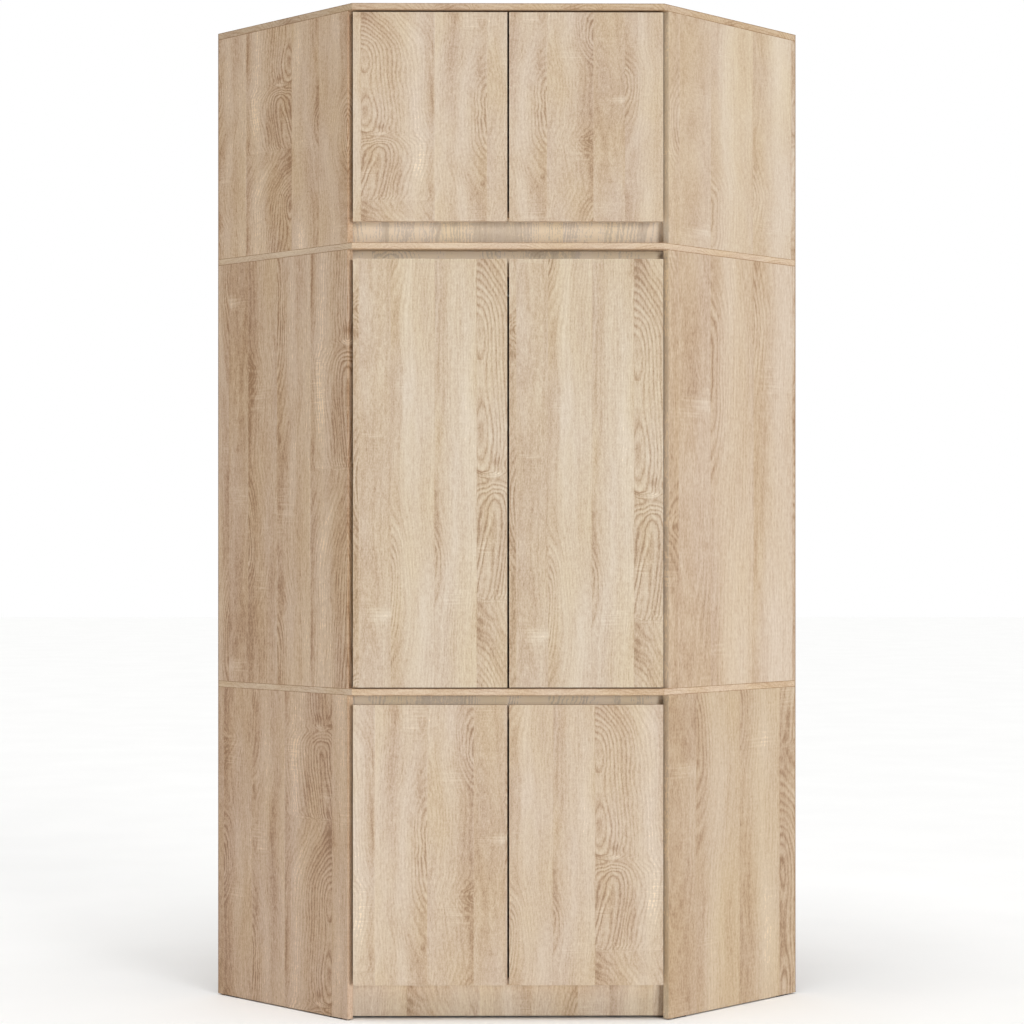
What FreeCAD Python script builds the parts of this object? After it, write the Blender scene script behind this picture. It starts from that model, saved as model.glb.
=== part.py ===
import FreeCAD, Part
import math
import os

# Corner wardrobe: a base unit, a wardrobe unit and a top box, stacked on one five-sided plan.
# Millimetres. X runs to the right along the front, Y towards the corner of the room, Z up.
# The origin is on the floor, under the middle of the part's box.

# Plan
wall_length = 1000.0  # along either wall, from the corner of the room to a side's outer face
side_depth = 490.0  # from the wall to the front corner of a deck
board = 16.0  # laminated chipboard
back_sheet = 3.0  # fibreboard back
post_width = 150.0  # post across the corner, on its face towards the corner of the room
side_setback = 15.0  # side's front edge behind the deck's front corner, along the side

# Heights
glide_height = 3.0
base_height = 768.0  # floor to the top of the base deck
middle_height = 1030.0
top_height = 552.0
plinth_gap = 5.5  # under the base plinth
base_plinth_height = 81.0  # floor to the base bottom board
top_plinth_height = 60.0  # middle deck to the top box's bottom board

# Rails and plinths behind the doors
rail_height = 59.0
rail_setback = 40.0  # rails and plinths, behind the decks' front edge

# Doors
door_thickness = 16.0
door_setback = 1.0  # door face behind the decks' front edge
door_side_margin = 2.4  # deck's front corner to the door's outer edge
door_middle_gap = 4.4  # between the two doors of a pair
finger_gap = 21.5  # over the base and middle doors
base_door_foot = 83.0  # floor to the base doors
middle_door_gap = 2.5  # base deck to the middle doors
top_finger_gap = 49.0  # middle deck to the top doors
top_door_gap = 4.4  # top doors to the top deck

# Cup hinges with one pivot and a gooseneck arm
hinge_end_distance = 100.0  # from a door's end to its nearest hinge
cup_diameter = 35.0
cup_depth = 12.0
cup_edge_distance = 3.0  # door's outer edge to the cup
cup_fit = 0.1  # round the cup in its hole
cup_slot_floor = 0.8  # under the slot that the arm turns in
flange_lip = 1.5  # flange past the cup, towards and away from the door's edge
flange_thickness = 1.0
flange_height = 62.0  # over both screw wings
flange_wing_width = 20.0
flange_shoulder = 24.0  # height of the flange where its wings start
hinge_count = 2  # on each door
pivot_from_edge = 9.0  # door's outer edge to the pin
pivot_depth = 7.0  # door's back face to the pin
pin_diameter = 3.0
pin_running_clearance = 0.05
pin_press_clearance = 0.02
eye_diameter = 6.4
arm_thickness = 3.0
arm_width = 10.0
arm_end_length = 16.0  # arm past the screw line of its plate
neck_angle = 8.0  # degrees, of the arm's neck inside the cup
swing_clearance = 1.5  # round the door's back corner as it swings
arm_side_gap = 0.5  # between the arm and the slot of its cup
arm_turn_gap = 1.0  # round the arm's eye and neck, in the slot
bend_fold_count = 5  # straight lengths that make up the bend
bar_lap = 0.8  # bar into the bend
pin_end_length = 4.0  # pin in the cup, past either side of the slot
plate_height = 5.0
plate_line = 37.0  # side's front edge to the screws of a plate
plate_length = 32.0
plate_saddle_width = 12.0
plate_wing_length = 14.0
plate_wing_height = 48.0
plate_wing_thickness = 2.0

# Fasteners
rod_flat_count = 8  # flats round a screw, dowel, shelf pin or hinge eye
fastener_clearance = 0.2
deck_screw_head = 10.0
deck_screw_head_height = 3.5
deck_screw_shank = 6.4
deck_screw_length = 50.0
fastener_edge_distance = 60.0  # first fastener from the end of a side
dowel_diameter = 8.0
dowel_length = 30.0
dowel_in_deck = 10.0
block_leg = 18.0
block_lip = 6.0
block_length = 30.0
block_edge_distance = 90.0
wedge_leg = 26.0
wedge_height = 34.0

# Inside
shelf_height = 420.0  # floor to the underside of the base shelf
shelf_setback = 60.0
shelf_clearance = 1.0
shelf_pin_diameter = 5.0
shelf_pin_depth = 8.0
shelf_pin_reach = 9.0
shelf_pin_collar = 8.0
shelf_pin_collar_thickness = 1.2
shelf_pin_edge_distance = 80.0
post_pin_spacing = 90.0
hanging_rail_length = 880.0
hanging_rail_setback = 370.0  # behind the decks' front edge
hanging_rail_drop = 60.0  # middle deck to the middle of the tube
hanging_rail_height = 30.0
hanging_rail_width = 15.0
hanging_rail_wall = 1.2
rail_plug_thickness = 2.0
hanger_end_distance = 60.0
hanger_strap = 2.5
hanger_width = 18.0
hanger_foot_length = 46.0
hanger_stem_width = 9.0

# Glides under the sides and the base post
glide_length = 40.0
glide_width = 12.0
glide_edge_distance = 25.0

overrun = 5.0  # past a face, for cuts

# Worked out from the plan
ROOT2 = math.sqrt(2)
RIGHT_ANGLE = 90.0
DIAGONAL = 135.0  # direction of a left side, from front to wall, in degrees
front_sum = wall_length + side_depth
corner_sum = post_width / ROOT2 + back_sheet * 2
post_sum = corner_sum + board * ROOT2
front_y = -(front_sum - corner_sum) / ROOT2 / 2
room_corner_y = front_y + front_sum / ROOT2
side_inner = wall_length - board
side_front = side_depth - side_setback
deck_half_width = (wall_length - side_depth) / ROOT2
middle_deck_height = base_height + middle_height
total_height = middle_deck_height + top_height

# Doors and their pivots, on the left side of the part
door_outer = deck_half_width - door_side_margin
door_inner = door_middle_gap / 2
door_front_y = front_y + door_setback
door_back_y = door_front_y + door_thickness
pivot_x = -door_outer + pivot_from_edge
pivot_y = door_back_y - pivot_depth
corner_swing = math.hypot(pivot_from_edge, pivot_depth)
bottom_setback = pivot_y + corner_swing + swing_clearance - front_y
bend_radius = corner_swing + swing_clearance + arm_thickness / 2

# Each unit: where its sides start and where its deck ends
UNITS = {
    "base": (glide_height, base_height),
    "middle": (base_height, middle_deck_height),
    "top": (middle_deck_height, total_height),
}
# Lower and upper edge of each pair of doors
DOORS = {
    "base": (base_door_foot, base_height - board - finger_gap),
    "middle": (base_height + middle_door_gap, middle_deck_height - board - finger_gap),
    "top": (middle_deck_height + top_finger_gap, total_height - board - top_door_gap),
}
HANDS = ("left", "right")

Vector = FreeCAD.Vector
UP = Vector(0, 0, 1)
BACK = Vector(0, 1, 0)
RIGHT = Vector(1, 0, 0)


def plan(along_left, along_right):
    """Point of the plan, from its distances along the left and the right wall."""
    return (
        (along_right - along_left) / ROOT2,
        room_corner_y - (along_left + along_right) / ROOT2,
    )


def prism(points, low, high):
    """Upright solid on an outline of X, Y points."""
    corners = [Vector(x, y, low) for x, y in points]
    return Part.Face(Part.makePolygon(corners + corners[:1])).extrude(UP * (high - low))


def wall_prism(points, low, high):
    """Upright solid on an outline given along the two walls."""
    return prism([plan(*point) for point in points], low, high)


def wall_box(left_from, left_to, right_from, right_to, low, high):
    """Upright block squared to the walls."""
    outline = [
        (left_from, right_from),
        (left_to, right_from),
        (left_to, right_to),
        (left_from, right_to),
    ]
    return wall_prism(outline, low, high)


def front_box(x_from, x_to, y_from, y_to, low, high):
    """Block squared to the front."""
    size = (x_to - x_from, y_to - y_from, high - low)
    return Part.makeBox(*size, Vector(x_from, y_from, low))


def mirrored(shape):
    """The same piece on the other side of the part."""
    return shape.mirror(Vector(0, 0, 0), RIGHT)


def joined(shapes):
    """One solid from pieces that overlap or share faces."""
    return shapes[0].fuse(shapes[1:]).removeSplitter()


def drilled(shape, holes):
    """A board with its holes cut."""
    return shape.cut(holes) if holes else shape


def pair(shape):
    """Left and right copies of a piece that is made on the left."""
    return [shape, mirrored(shape)]


def upright_cylinder(diameter, place, low, high):
    return Part.makeCylinder(diameter / 2, high - low, Vector(*place, low), UP)


def rod(width, start, end):
    """Rod with flats, one of them on top where it lies level; width is across the flats."""
    along = (end - start).normalize()
    side = BACK if along.isEqual(UP, 0) else along.cross(UP)
    rise = side.cross(along)
    step = math.tau / rod_flat_count
    radius = width / 2 / math.cos(step / 2)
    corners = [
        start + side * (radius * math.cos(turn)) + rise * (radius * math.sin(turn))
        for turn in (step * (index + 1 / 2) for index in range(rod_flat_count))
    ]
    return Part.Face(Part.makePolygon(corners + corners[:1])).extrude(end - start)


def upright_rod(width, place, low, high):
    return rod(width, Vector(*place, low), Vector(*place, high))


def inner_half_width(setback):
    """From the middle to a side's inner face, at a depth behind the decks' front edge."""
    return (side_inner * 2 - front_sum) / ROOT2 + setback


# Places of the fasteners in plan


def side_screw_places():
    ends = (back_sheet + fastener_edge_distance, side_front - fastener_edge_distance)
    return [plan(wall_length - board / 2, end) for end in ends]


def side_dowel_places():
    return [plan(wall_length - board / 2, (back_sheet + side_front) / 2)]


def post_place():
    """Middle of the post."""
    return (0, room_corner_y - (corner_sum + post_sum) / ROOT2 / 2)


def both_sides(places):
    """Places on the left side, and their mirror images on the right."""
    return places + [(-x, y) for x, y in places]


def deck_screw(place, deck_top, clearance):
    """Screw with a flat head flush with its deck, or with clearance its hole."""
    head_low = deck_top - deck_screw_head_height - clearance
    shank_low = deck_top - deck_screw_length - clearance
    head = upright_rod(deck_screw_head + clearance * 2, place, head_low, deck_top)
    shank = upright_rod(deck_screw_shank + clearance * 2, place, shank_low, deck_top)
    return joined([head, shank])


def dowel(place, deck_top, clearance):
    """Wooden dowel that centres a unit on the deck below it, or with clearance its hole."""
    low = deck_top - dowel_in_deck - clearance
    high = low + dowel_length + clearance * 2
    return upright_rod(dowel_diameter + clearance * 2, place, low, high)


def screw_holes(places, deck_top):
    return [deck_screw(place, deck_top, fastener_clearance) for place in places]


def dowel_holes(places, deck_top):
    return [dowel(place, deck_top, fastener_clearance) for place in places]


# Boards of the three units


def side_panel(unit):
    """Left side: stands between two decks, or on glides, square to the wall."""
    low, deck_top = UNITS[unit]
    panel = wall_box(side_inner, wall_length, back_sheet, side_front, low, deck_top - board)
    holes = screw_holes(side_screw_places(), deck_top)
    if unit == "base":
        holes += [shelf_pin(place, fastener_clearance) for place in side_pin_places()]
    else:
        holes += dowel_holes(side_dowel_places(), low)
    return drilled(panel, holes)


def corner_post(unit):
    """Post across the corner of the room, with bevelled ends that carry both back sheets."""
    low, deck_top = UNITS[unit]
    outline = [
        (corner_sum - back_sheet, back_sheet),
        (back_sheet, corner_sum - back_sheet),
        (back_sheet, post_sum - back_sheet),
        (post_sum - back_sheet, back_sheet),
    ]
    post = wall_prism(outline, low, deck_top - board)
    holes = screw_holes([post_place()], deck_top)
    if unit == "base":
        holes += [post_shelf_pin(x, fastener_clearance) for x in post_pin_places()]
    return drilled(post, holes)


def deck(unit):
    """Board across the whole plan that closes a unit and carries the next one."""
    deck_top = UNITS[unit][1]
    outline = [
        (wall_length, back_sheet),
        (wall_length, side_depth),
        (side_depth, wall_length),
        (back_sheet, wall_length),
        (back_sheet, corner_sum - back_sheet),
        (corner_sum - back_sheet, back_sheet),
    ]
    plate = wall_prism(outline, deck_top - board, deck_top)
    holes = screw_holes(both_sides(side_screw_places()) + [post_place()], deck_top)
    if unit != "top":
        holes += dowel_holes(both_sides(side_dowel_places()), deck_top)
    return drilled(plate, holes)


def back(unit):
    """Left back sheet, nailed to the edges of the decks, the side and the post."""
    low, deck_top = UNITS[unit]
    return wall_box(corner_sum, wall_length, 0, back_sheet, low, deck_top)


def inner_board(low, setback, clearance):
    """Board that lies inside a unit, between its sides, backs and post."""
    side = side_inner - clearance
    wall = back_sheet + clearance
    front = front_sum - setback * ROOT2 - side
    post = post_sum + clearance * ROOT2 - wall
    outline = [(side, wall), (side, front), (front, side), (wall, side), (wall, post), (post, wall)]
    return wall_prism(outline, low, low + board)


def cross_rail(low, high):
    """Upright board behind the doors, with its ends mitred to the sides."""
    near, far = rail_setback, rail_setback + board
    outline = [
        (-inner_half_width(near), front_y + near),
        (inner_half_width(near), front_y + near),
        (inner_half_width(far), front_y + far),
        (-inner_half_width(far), front_y + far),
    ]
    return prism(outline, low, high)


# Plastic blocks that join the boards inside


def board_block(low, along_wall):
    """Bevelled block under a board, against the left side's inner face."""
    profile = [(0, 0), (0, -block_leg), (block_lip, -block_leg), (block_leg, -block_lip), (block_leg, 0)]
    corners = [
        Vector(*plan(side_inner - reach, along_wall), low + drop) for reach, drop in profile
    ]
    start = Vector(*plan(side_inner, along_wall), 0)
    end = Vector(*plan(side_inner, along_wall + block_length), 0)
    return Part.Face(Part.makePolygon(corners + corners[:1])).extrude(end - start)


def rail_wedge(low):
    """Wedge in the corner between the back of a rail and the left side."""
    far = rail_setback + board
    corner_x, corner_y = -inner_half_width(far), front_y + far
    outline = [
        (corner_x, corner_y),
        (corner_x + wedge_leg, corner_y),
        (corner_x - wedge_leg / ROOT2, corner_y + wedge_leg / ROOT2),
    ]
    return prism(outline, low, low + wedge_height)


# Shelf pins


def side_pin_places():
    return (back_sheet + shelf_pin_edge_distance, side_front - shelf_setback - shelf_pin_edge_distance)


def post_pin_places():
    return [side * post_pin_spacing / 2 for side in (-1, 1)]


def collared_pin(middle, inward, clearance):
    """Pin with a collar against the board, under the shelf; with clearance, its hole."""
    start = middle - inward * (shelf_pin_depth + clearance)
    pin = rod(shelf_pin_diameter + clearance * 2, start, middle + inward * shelf_pin_reach)
    if clearance:
        return pin
    drop = UP * ((shelf_pin_collar - shelf_pin_diameter) / 2)
    collar_end = middle + inward * shelf_pin_collar_thickness
    return joined([pin, rod(shelf_pin_collar, middle - drop, collar_end - drop)])


def shelf_pin(along_wall, clearance):
    """Pin in the left side."""
    inward = Vector(1, 1, 0).normalize()
    height = shelf_height - shelf_pin_diameter / 2
    return collared_pin(Vector(*plan(side_inner, along_wall), height), inward, clearance)


def post_shelf_pin(x, clearance):
    """Pin in the post, pointing to the front."""
    height = shelf_height - shelf_pin_diameter / 2
    face_y = room_corner_y - post_sum / ROOT2
    return collared_pin(Vector(x, face_y, height), BACK * -1, clearance)


# Hanging rail


def oval(width, height, length, start):
    """Solid with an upright oval section, along X, its middle at start."""
    half, rise = width / 2, (height - width) / 2
    top, bottom = Vector(0, 0, rise), Vector(0, 0, -rise)
    side = BACK * half
    edges = [
        Part.LineSegment(bottom - side, top - side),
        Part.Arc(top - side, top + UP * half, top + side),
        Part.LineSegment(top + side, bottom + side),
        Part.Arc(bottom + side, bottom - UP * half, bottom - side),
    ]
    wire = Part.Wire([edge.toShape() for edge in edges])
    return Part.Face(wire).extrude(RIGHT * length).translated(start)


def tube_place(x):
    height = middle_deck_height - board - hanging_rail_drop
    return Vector(x, front_y + hanging_rail_setback, height)


def hanging_tube():
    inner = (hanging_rail_width - hanging_rail_wall * 2, hanging_rail_height - hanging_rail_wall * 2)
    start = tube_place(-hanging_rail_length / 2)
    outside = oval(hanging_rail_width, hanging_rail_height, hanging_rail_length, start)
    bore = oval(*inner, hanging_rail_length + overrun * 2, start - RIGHT * overrun)
    return outside.cut(bore)


def tube_plug():
    """Plug that closes the left end of the tube."""
    start = tube_place(-hanging_rail_length / 2 - rail_plug_thickness)
    return oval(hanging_rail_width, hanging_rail_height, rail_plug_thickness, start)


def rail_hanger():
    """Loop round the tube near its left end, on a stem and a foot under the middle deck."""
    start = tube_place(-hanging_rail_length / 2 + hanger_end_distance)
    deck_low = middle_deck_height - board
    grow = (fastener_clearance + hanger_strap) * 2
    loop = oval(hanging_rail_width + grow, hanging_rail_height + grow, hanger_width, start)
    x_from, x_to = start.x, start.x + hanger_width
    foot_from, foot_to = start.y - hanger_foot_length / 2, start.y + hanger_foot_length / 2
    foot = front_box(x_from, x_to, foot_from, foot_to, deck_low - hanger_strap, deck_low)
    stem_from, stem_to = start.y - hanger_stem_width / 2, start.y + hanger_stem_width / 2
    stem = front_box(x_from, x_to, stem_from, stem_to, start.z, deck_low)
    room = fastener_clearance * 2
    bore_size = (hanging_rail_width + room, hanging_rail_height + room)
    bore = oval(*bore_size, hanger_width + overrun * 2, start - RIGHT * overrun)
    return joined([loop, stem, foot]).cut(bore)


# Hinges, made on the left side round the pivot


def hinge_heights(unit):
    low, high = DOORS[unit]
    first = low + hinge_end_distance
    spacing = (high - hinge_end_distance - first) / (hinge_count - 1)
    return [first + spacing * step for step in range(hinge_count)]


def around_pivot(radius, degrees, height):
    """Point at a radius and direction from the pivot."""
    angle = math.radians(degrees)
    return Vector(pivot_x + radius * math.cos(angle), pivot_y + radius * math.sin(angle), height)


def hinge_arm(height):
    """Gooseneck arm: an eye on the pin, a neck in the cup, a bend round the door's back corner
    that shares the pin's centre, and a bar along the side on to the plate."""
    low, high = height - arm_width / 2, height + arm_width / 2
    rise = UP * arm_width
    half = arm_thickness / 2
    pivot = (pivot_x, pivot_y)
    pivot_left = (room_corner_y - pivot_y) / ROOT2 - pivot_x / ROOT2
    bar_near = side_inner - plate_height
    bar_far = bar_near - arm_thickness
    bar_offset = pivot_left - (bar_near + bar_far) / 2
    bend_end = DIAGONAL - math.degrees(math.asin(bar_offset / bend_radius))
    eye = upright_rod(eye_diameter, pivot, low, high)
    neck_ends = [around_pivot(reach, neck_angle, low) for reach in (0, bend_radius + half)]
    aside = around_pivot(half, neck_angle + RIGHT_ANGLE, low) - around_pivot(0, 0, low)
    neck_points = [
        neck_ends[0] - aside,
        neck_ends[1] - aside,
        neck_ends[1] + aside,
        neck_ends[0] + aside,
    ]
    neck = Part.Face(Part.makePolygon(neck_points + neck_points[:1])).extrude(rise)
    bend_step = (bend_end - neck_angle) / bend_fold_count
    turns = [neck_angle + bend_step * index for index in range(bend_fold_count + 1)]
    outer = [around_pivot(bend_radius + half, turn, low) for turn in turns]
    inner = [around_pivot(bend_radius - half, turn, low) for turn in reversed(turns)]
    bend = Part.Face(Part.makePolygon(outer + inner + outer[:1])).extrude(rise)
    start = around_pivot(bend_radius, bend_end, low)
    bar_start = (room_corner_y - start.y) / ROOT2 + start.x / ROOT2 + bar_lap
    bar_end = side_front - plate_line - arm_end_length
    bar = wall_box(bar_far, bar_near, bar_end, bar_start, low, high)
    bore = upright_cylinder(pin_diameter + pin_running_clearance * 2, pivot, low - overrun, high + overrun)
    return joined([eye, neck, bend, bar]).cut(bore)


def hinge_plate(height):
    """Plate on the left side's inner face: a saddle under the arm and two screw wings."""
    line = side_front - plate_line
    saddle = wall_box(
        side_inner - plate_height,
        side_inner,
        line - plate_length / 2,
        line + plate_length / 2,
        height - plate_saddle_width / 2,
        height + plate_saddle_width / 2,
    )
    wings = wall_box(
        side_inner - plate_wing_thickness,
        side_inner,
        line - plate_wing_length / 2,
        line + plate_wing_length / 2,
        height - plate_wing_height / 2,
        height + plate_wing_height / 2,
    )
    return joined([saddle, wings])


def cup_middle_x():
    return -door_outer + cup_edge_distance + cup_diameter / 2


def cup_cylinder(height, diameter, from_y, to_y):
    start = Vector(cup_middle_x(), from_y, height)
    return Part.makeCylinder(diameter / 2, to_y - from_y, start, BACK)


def flange_outline(height):
    """Screw flange: as wide as the cup with its lips, drawn in to a wing above and below."""
    half_width = cup_diameter / 2 + flange_lip
    half_wing = flange_wing_width / 2
    shoulder, end = flange_shoulder / 2, flange_height / 2
    quarter = [(half_width, shoulder), (half_wing, end)]
    upper = quarter + [(-x, z) for x, z in reversed(quarter)]
    points = upper + [(-x, -z) for x, z in upper]
    return [Vector(cup_middle_x() + x, door_back_y, height + z) for x, z in points]


def hinge_cup(height):
    """Cup in the door's back: a screw flange, a slot that the arm turns in, and a notch across
    the slot for the pin."""
    floor_y = door_back_y - cup_depth
    corners = flange_outline(height)
    flange = Part.Face(Part.makePolygon(corners + corners[:1])).extrude(BACK * flange_thickness)
    body = joined([cup_cylinder(height, cup_diameter, floor_y, door_back_y), flange])
    mouth_y = door_back_y + flange_thickness + overrun
    slot_half = arm_width / 2 + arm_side_gap
    slot_from = pivot_x - eye_diameter / 2 - arm_turn_gap
    slot_to = pivot_x + bend_radius + arm_thickness / 2 + arm_turn_gap
    slot_floor = floor_y + cup_slot_floor
    slot = front_box(slot_from, slot_to, slot_floor, mouth_y, height - slot_half, height + slot_half)
    pin_half = slot_half + pin_end_length
    pin_side = pin_diameter / 2 + pin_press_clearance
    notch_floor = pivot_y - pin_side
    notch_ends = (height - pin_half - pin_press_clearance, height + pin_half + pin_press_clearance)
    notch = front_box(pivot_x - pin_side, pivot_x + pin_side, notch_floor, mouth_y, *notch_ends)
    return body.cut([slot, notch])


def hinge_pin(height):
    """Pin across the slot of a cup, through the eye of the arm."""
    half = arm_width / 2 + arm_side_gap + pin_end_length
    return upright_cylinder(pin_diameter, (pivot_x, pivot_y), height - half, height + half)


def door(unit):
    """Left door, with a blind hole for each cup."""
    low, high = DOORS[unit]
    panel = front_box(-door_outer, -door_inner, door_front_y, door_back_y, low, high)
    size = cup_diameter + cup_fit * 2
    floor_y = door_back_y - cup_depth - cup_fit
    holes = [
        cup_cylinder(height, size, floor_y, door_back_y + overrun) for height in hinge_heights(unit)
    ]
    return drilled(panel, holes)


# Glides


def side_glide(along_wall):
    """Flat glide nailed under the left side, near one of its ends."""
    edge = (board - glide_width) / 2
    left = (side_inner + edge, wall_length - edge)
    return wall_box(*left, along_wall, along_wall + glide_length, 0, glide_height)


def post_glide():
    x, y = post_place()
    half_length, half_width = glide_length / 2, glide_width / 2
    return front_box(x - half_length, x + half_length, y - half_width, y + half_width, 0, glide_height)


def glides():
    starts = (back_sheet + glide_edge_distance, side_front - glide_edge_distance - glide_length)
    return [glide for start in starts for glide in pair(side_glide(start))] + [post_glide()]


# The nodes


def unit_nodes(unit):
    """Boards that every unit has, and its hinges' arms and plates."""
    sides, backs = pair(side_panel(unit)), pair(back(unit))
    nodes = {f"{unit}_side_{hand}": [side] for hand, side in zip(HANDS, sides)}
    nodes.update({f"{unit}_back_{hand}": [sheet] for hand, sheet in zip(HANDS, backs)})
    nodes[f"{unit}_corner_post"] = [corner_post(unit)]
    nodes[f"{unit}_deck"] = [deck(unit)]
    heights = hinge_heights(unit)
    nodes[f"{unit}_hinge_arms"] = [arm for h in heights for arm in pair(hinge_arm(h))]
    nodes[f"{unit}_hinge_plates"] = [plate for h in heights for plate in pair(hinge_plate(h))]
    return nodes


def door_nodes(unit):
    """Two doors, each with its cups and pins."""
    heights = hinge_heights(unit)
    pieces = {
        "": [door(unit)],
        "_hinge_cups": [hinge_cup(height) for height in heights],
        "_hinge_pins": [hinge_pin(height) for height in heights],
    }
    nodes = {}
    for suffix, left in pieces.items():
        nodes[f"{unit}_door_left{suffix}"] = left
        nodes[f"{unit}_door_right{suffix}"] = [mirrored(piece) for piece in left]
    return nodes


def inside_nodes():
    """Bottom boards, rails, plinths, the shelf and the hanging rail."""
    base_deck_low = base_height - board
    middle_deck_low = middle_deck_height - board
    top_bottom_low = middle_deck_height + top_plinth_height
    pins = [pin for place in side_pin_places() for pin in pair(shelf_pin(place, 0))]
    pins += [post_shelf_pin(x, 0) for x in post_pin_places()]
    return {
        "base_bottom": [inner_board(base_plinth_height, bottom_setback, 0)],
        "base_plinth": [cross_rail(plinth_gap, base_plinth_height)],
        "base_rail": [cross_rail(base_deck_low - rail_height, base_deck_low)],
        "base_shelf": [inner_board(shelf_height, shelf_setback, shelf_clearance)],
        "base_shelf_pins": pins,
        "middle_rail": [cross_rail(middle_deck_low - rail_height, middle_deck_low)],
        "hanging_rail": [hanging_tube()],
        "hanging_rail_plugs": pair(tube_plug()),
        "hanging_rail_hangers": pair(rail_hanger()),
        "top_plinth": [cross_rail(middle_deck_height, top_bottom_low)],
        "top_bottom": [inner_board(top_bottom_low, bottom_setback, 0)],
    }


def fastener_nodes():
    """Screws, dowels, blocks and glides."""
    screw_places = both_sides(side_screw_places()) + [post_place()]
    dowel_places = both_sides(side_dowel_places())
    deck_tops = [deck_top for _, deck_top in UNITS.values()]
    screws = [deck_screw(place, top, 0) for top in deck_tops for place in screw_places]
    dowels = [dowel(place, top, 0) for top in deck_tops[:-1] for place in dowel_places]
    board_lows = (base_plinth_height, middle_deck_height + top_plinth_height)
    block_places = (
        back_sheet + block_edge_distance,
        side_front - block_edge_distance - block_length,
    )
    blocks = [board_block(low, place) for low in board_lows for place in block_places]
    wedge_lows = [
        base_plinth_height - wedge_height,
        base_height - board - wedge_height,
        middle_deck_height - board - wedge_height,
        middle_deck_height + top_plinth_height - wedge_height,
    ]
    wedges = [rail_wedge(low) for low in wedge_lows]
    return {
        "deck_screws": screws,
        "unit_dowels": dowels,
        "board_blocks": [block for left in blocks for block in pair(left)],
        "rail_wedges": [wedge for left in wedges for wedge in pair(left)],
        "floor_glides": glides(),
    }


def all_nodes():
    nodes = {}
    for unit in UNITS:
        nodes.update(unit_nodes(unit))
        nodes.update(door_nodes(unit))
    nodes.update(inside_nodes())
    nodes.update(fastener_nodes())
    return nodes


def main():
    os.makedirs("parts", exist_ok=True)
    for name, solids in all_nodes().items():
        shape = solids[0] if len(solids) == 1 else Part.makeCompound(solids)
        shape.exportStep(os.path.join("parts", f"{name}.step"))


main()
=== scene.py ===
import math

import bpy
import numpy as np
from mathutils import Matrix, Vector


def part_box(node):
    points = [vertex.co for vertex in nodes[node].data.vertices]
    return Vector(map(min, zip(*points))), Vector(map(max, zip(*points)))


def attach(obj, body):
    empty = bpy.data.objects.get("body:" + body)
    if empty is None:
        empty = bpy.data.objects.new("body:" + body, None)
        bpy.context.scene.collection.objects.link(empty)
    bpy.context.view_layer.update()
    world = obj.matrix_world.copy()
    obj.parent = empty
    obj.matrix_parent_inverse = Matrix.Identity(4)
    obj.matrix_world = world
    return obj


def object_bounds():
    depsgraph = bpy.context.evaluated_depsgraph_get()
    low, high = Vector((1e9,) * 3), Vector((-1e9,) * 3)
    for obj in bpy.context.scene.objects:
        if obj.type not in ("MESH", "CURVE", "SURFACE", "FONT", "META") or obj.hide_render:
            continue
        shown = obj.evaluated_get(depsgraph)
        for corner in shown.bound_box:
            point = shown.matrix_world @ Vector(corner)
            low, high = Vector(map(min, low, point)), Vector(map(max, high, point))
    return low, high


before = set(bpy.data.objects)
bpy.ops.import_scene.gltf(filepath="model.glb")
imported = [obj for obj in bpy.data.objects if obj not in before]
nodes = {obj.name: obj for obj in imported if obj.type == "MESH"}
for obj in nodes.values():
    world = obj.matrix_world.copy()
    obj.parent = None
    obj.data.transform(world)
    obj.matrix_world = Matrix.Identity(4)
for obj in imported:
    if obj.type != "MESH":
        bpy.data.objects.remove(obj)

# Looks of the corner wardrobe: melamine boards with one repeating sawn-oak print, laid on each
# board at its own place, hardboard backs, plated hinges and the small screws and nails.
# Lengths are millimetres where a name says so, and metres in meshes.

cad_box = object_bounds()
MM = 0.001
TO_MM = 1000.0
ROOT2 = math.sqrt(2)
half_share = 0.5
UNITS = ("base", "middle", "top")
HANDS = ("left", "right")
DOORS = [f"{unit}_door_{hand}" for unit in UNITS for hand in HANDS]

# Ways in the part's frame
UP = (0, 0, 1)
DOWN = (0, 0, -1)
RIGHT = (1, 0, 0)
BACKWARD = (0, 1, 0)
TO_LEFT_WALL = np.array([-1, 1, 0]) / ROOT2
TO_RIGHT_WALL = np.array([1, 1, 0]) / ROOT2

# Plan of the part, from its own values
wall_length_mm = 1000.0
side_depth_mm = 490.0
side_setback_mm = 15.0
board_mm = 16.0
back_mm = 3.0
side_front_mm = side_depth_mm - side_setback_mm
side_middle_mm = wall_length_mm - board_mm / 2
front_y_mm = cad_box[0][1] * TO_MM
room_corner_y_mm = front_y_mm + (wall_length_mm + side_depth_mm) / ROOT2


def plan(along_left_mm, along_right_mm, height_mm):
    """Point in metres, from its distances along the left and the right wall."""
    return MM * np.array([
        (along_right_mm - along_left_mm) / ROOT2,
        room_corner_y_mm - (along_left_mm + along_right_mm) / ROOT2,
        height_mm,
    ])


# Nodes and colours

NOISE = "ShaderNodeTexNoise"
RAMP = "ShaderNodeValToRGB"
MIX = "ShaderNodeMix"
COMBINE = "ShaderNodeCombineXYZ"
SEPARATE = "ShaderNodeSeparateXYZ"
BUMP = "ShaderNodeBump"
RANGE = "ShaderNodeMapRange"
MAPPING = "ShaderNodeMapping"
COORDINATES = "ShaderNodeTexCoord"


def linear(hex_colour):
    """sRGB hex colour as linear RGBA."""
    parts = [int(hex_colour[place:place + 2], 16) / 255 for place in (1, 3, 5)]
    return [p / 12.92 if p <= 0.04045 else ((p + 0.055) / 1.055) ** 2.4 for p in parts] + [1.0]


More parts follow.
